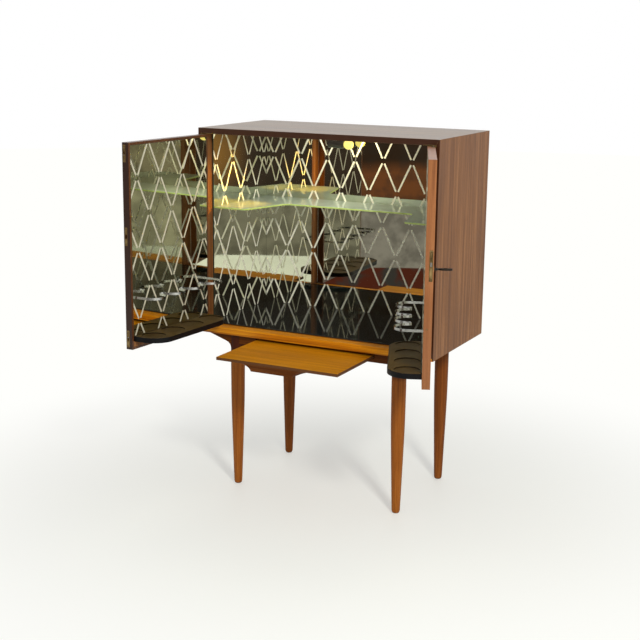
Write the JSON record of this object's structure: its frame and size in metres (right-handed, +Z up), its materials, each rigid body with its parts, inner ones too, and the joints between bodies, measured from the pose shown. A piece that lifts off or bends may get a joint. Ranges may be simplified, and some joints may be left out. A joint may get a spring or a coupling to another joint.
{
  "type": "bar cabinet",
  "caption": "Teak bar cabinet on turned legs: mirror-lined doors with bottle shelves and holders, a stepped glass shelf, a pull-out serving tray, a lock and a small lamp",
  "frame": {"origin": "centre of the bounding box at floor level, doors open and tray out", "axes": "+Z up, doors and tray open towards -Y, +X to the right seen from the front"},
  "size_m": [1.1064, 0.9048, 1.291],
  "materials": {
    "teak_veneer": "oiled teak veneer, straight grain",
    "solid_teak": "oiled solid teak",
    "tray_teak": "golden oiled teak",
    "beech": "waxed beech",
    "back_board": "plain veneered board",
    "patterned_mirror": "silvered glass with a frosted lozenge lattice",
    "black_glass": "polished black glass",
    "clear_glass": "clear glass with green edges",
    "black_lacquer": "black lacquer on wood",
    "bronze_inlay": "glossy bronze-coloured laminate",
    "chrome_strip": "polished chrome",
    "aged_brass": "dulled brass",
    "plain_steel": "plain steel",
    "key_black": "steel key with a blackened bow",
    "black_bakelite": "black bakelite",
    "glide_plastic": "dark plastic",
    "warm_bulb": "warm frosted glass"
  },
  "bodies": {
    "cabinet": {"top_panel": "teak_veneer", "bottom_panel": "teak_veneer", "left_side_panel": "teak_veneer", "right_side_panel": "teak_veneer", "back_panel": "back_board", "back_panel_screws": "plain_steel", "back_mirror": "patterned_mirror", "left_side_mirror": "patterned_mirror", "right_side_mirror": "patterned_mirror", "floor_glass": "black_glass", "glass_shelf": "clear_glass", "shelf_pins": "chrome_strip", "lamp_bracket": "black_bakelite", "lamp_holder": "black_bakelite", "lamp_bulb": "warm_bulb", "lamp_screws": "plain_steel", "cable_outlet": "black_bakelite", "front_rail": "solid_teak", "back_rail": "solid_teak", "left_rail": "solid_teak", "right_rail": "solid_teak", "corner_wings": "solid_teak", "front_left_leg": "solid_teak", "front_right_leg": "solid_teak", "back_left_leg": "solid_teak", "back_right_leg": "solid_teak", "foot_glides": "glide_plastic", "tray_runners": "beech", "underside_screws": "plain_steel", "cabinet_hinge_leaves": "aged_brass", "cabinet_hinge_screws": "aged_brass"},
    "left_door": {"left_door_panel": "teak_veneer", "left_door_lipping": "solid_teak", "left_door_mirror": "patterned_mirror", "left_door_shelf": "black_lacquer", "left_door_shelf_inlay": "bronze_inlay", "left_bottle_holder": "chrome_strip", "left_hinge_leaves": "aged_brass", "left_door_screws": "aged_brass", "strike_plate": "aged_brass", "flush_bolt_plates": "aged_brass"},
    "right_door": {"right_door_panel": "teak_veneer", "right_door_lipping": "solid_teak", "right_door_mirror": "patterned_mirror", "right_door_shelf": "black_lacquer", "right_door_shelf_inlay": "bronze_inlay", "right_bottle_holder": "chrome_strip", "right_hinge_leaves": "aged_brass", "right_door_screws": "aged_brass", "lock_case": "plain_steel", "lock_face_plate": "aged_brass", "escutcheon": "aged_brass", "buffer_stud": "aged_brass"},
    "tray": {"tray_board": "tray_teak", "tray_grip": "solid_teak", "tray_stop_pins": "plain_steel"},
    "key": {"key": "key_black"},
    "lock_bolt": {"lock_bolt": "aged_brass"},
    "top_flush_bolt": {"top_flush_bolt": "aged_brass"},
    "bottom_flush_bolt": {"bottom_flush_bolt": "aged_brass"}
  },
  "joints": [
    {"name": "left_door_hinge", "type": "hinge", "parent": "cabinet", "child": "left_door", "pos_m": [-0.52601, -0.01765, 0.589], "axis": [0, 0, 1], "range_deg": [-24, 93.8]},
    {"name": "right_door_hinge", "type": "hinge", "parent": "cabinet", "child": "right_door", "pos_m": [0.34399, -0.01765, 0.589], "axis": [0, 0, 1], "range_deg": [-112.5, 5.5]},
    {"name": "tray_slide", "type": "slide", "parent": "cabinet", "child": "tray", "axis": [0, 1, 0], "range_m": [-0.0585, 0.252]},
    {"name": "key_turn", "type": "hinge", "parent": "right_door", "child": "key", "pos_m": [0.50051, -0.39552, 0.949], "axis": [0.9239, 0.3827, 0], "range_deg": [0, 360]},
    {"name": "lock_bolt_slide", "type": "slide", "parent": "right_door", "child": "lock_bolt", "axis": [0.3827, -0.9239, 0], "range_m": [0, 0.008]},
    {"name": "top_flush_bolt_slide", "type": "slide", "parent": "left_door", "child": "top_flush_bolt", "axis": [0, 0, 1], "range_m": [0, 0.01]},
    {"name": "bottom_flush_bolt_slide", "type": "slide", "parent": "left_door", "child": "bottom_flush_bolt", "axis": [0, 0, -1], "range_m": [0, 0.01]}
  ],
  "couplings": [
    {"joint": "lock_bolt_slide", "follows": "key_turn", "m_per_rad": 0.0012732}
  ]
}
